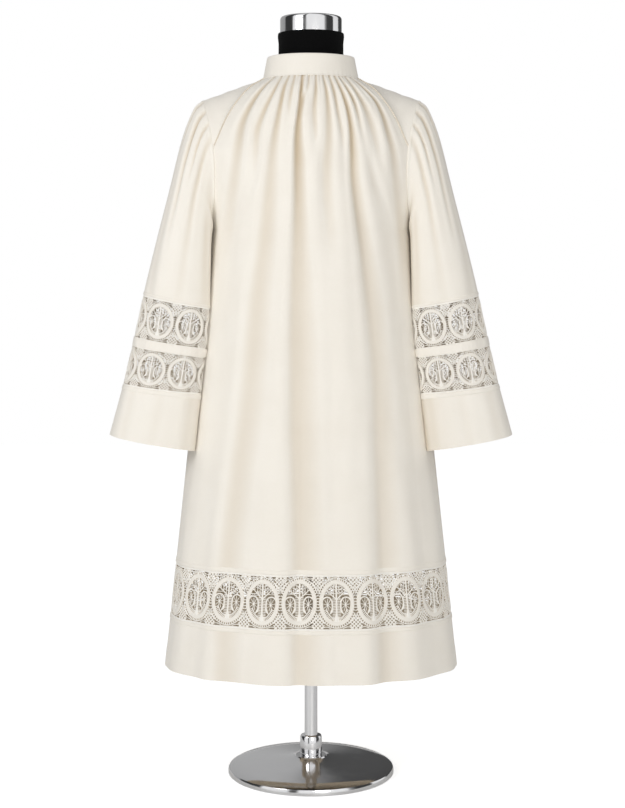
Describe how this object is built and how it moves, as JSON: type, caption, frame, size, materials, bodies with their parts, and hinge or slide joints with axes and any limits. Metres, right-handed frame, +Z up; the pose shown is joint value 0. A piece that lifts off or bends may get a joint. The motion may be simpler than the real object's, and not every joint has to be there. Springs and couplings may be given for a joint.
{
  "type": "surplice on dress form",
  "caption": "Knee-length surplice with a stand collar, gathered neck, long sleeves and cut lace bands, worn by a limbless dress form on a round base.",
  "frame": {"origin": "centre of the stand's base, on the floor", "axes": "+Z up; -Y is the garment's back, which the picture shows; -X is the wearer's left"},
  "size_m": [0.76, 0.3668, 1.4425],
  "materials": {
    "ivory_cloth": "soft matte cloth",
    "ivory_lace": "matte lace",
    "black_cover": "matte",
    "chrome": "polished"
  },
  "bodies": {
    "root": {"back_panel": "ivory_cloth", "body_lace_back": "ivory_lace", "body_lace_front": "ivory_lace", "collar": "ivory_cloth", "cuff_left": "ivory_cloth", "cuff_right": "ivory_cloth", "form_base": "chrome", "form_cap": "chrome", "form_pole": "chrome", "form_torso": "black_cover", "front_panel": "ivory_cloth", "hem_band": "ivory_cloth", "piping_back_left": "ivory_cloth", "piping_back_right": "ivory_cloth", "piping_front_left": "ivory_cloth", "piping_front_right": "ivory_cloth", "shoulder_yoke_left": "ivory_cloth", "shoulder_yoke_right": "ivory_cloth", "sleeve_lace_lower_left_back": "ivory_lace", "sleeve_lace_lower_left_front": "ivory_lace", "sleeve_lace_lower_right_back": "ivory_lace", "sleeve_lace_lower_right_front": "ivory_lace", "sleeve_lace_upper_left_back": "ivory_lace", "sleeve_lace_upper_left_front": "ivory_lace", "sleeve_lace_upper_right_back": "ivory_lace", "sleeve_lace_upper_right_front": "ivory_lace", "sleeve_left": "ivory_cloth", "sleeve_right": "ivory_cloth", "sleeve_strip_left": "ivory_cloth", "sleeve_strip_right": "ivory_cloth"}
  },
  "joints": []
}
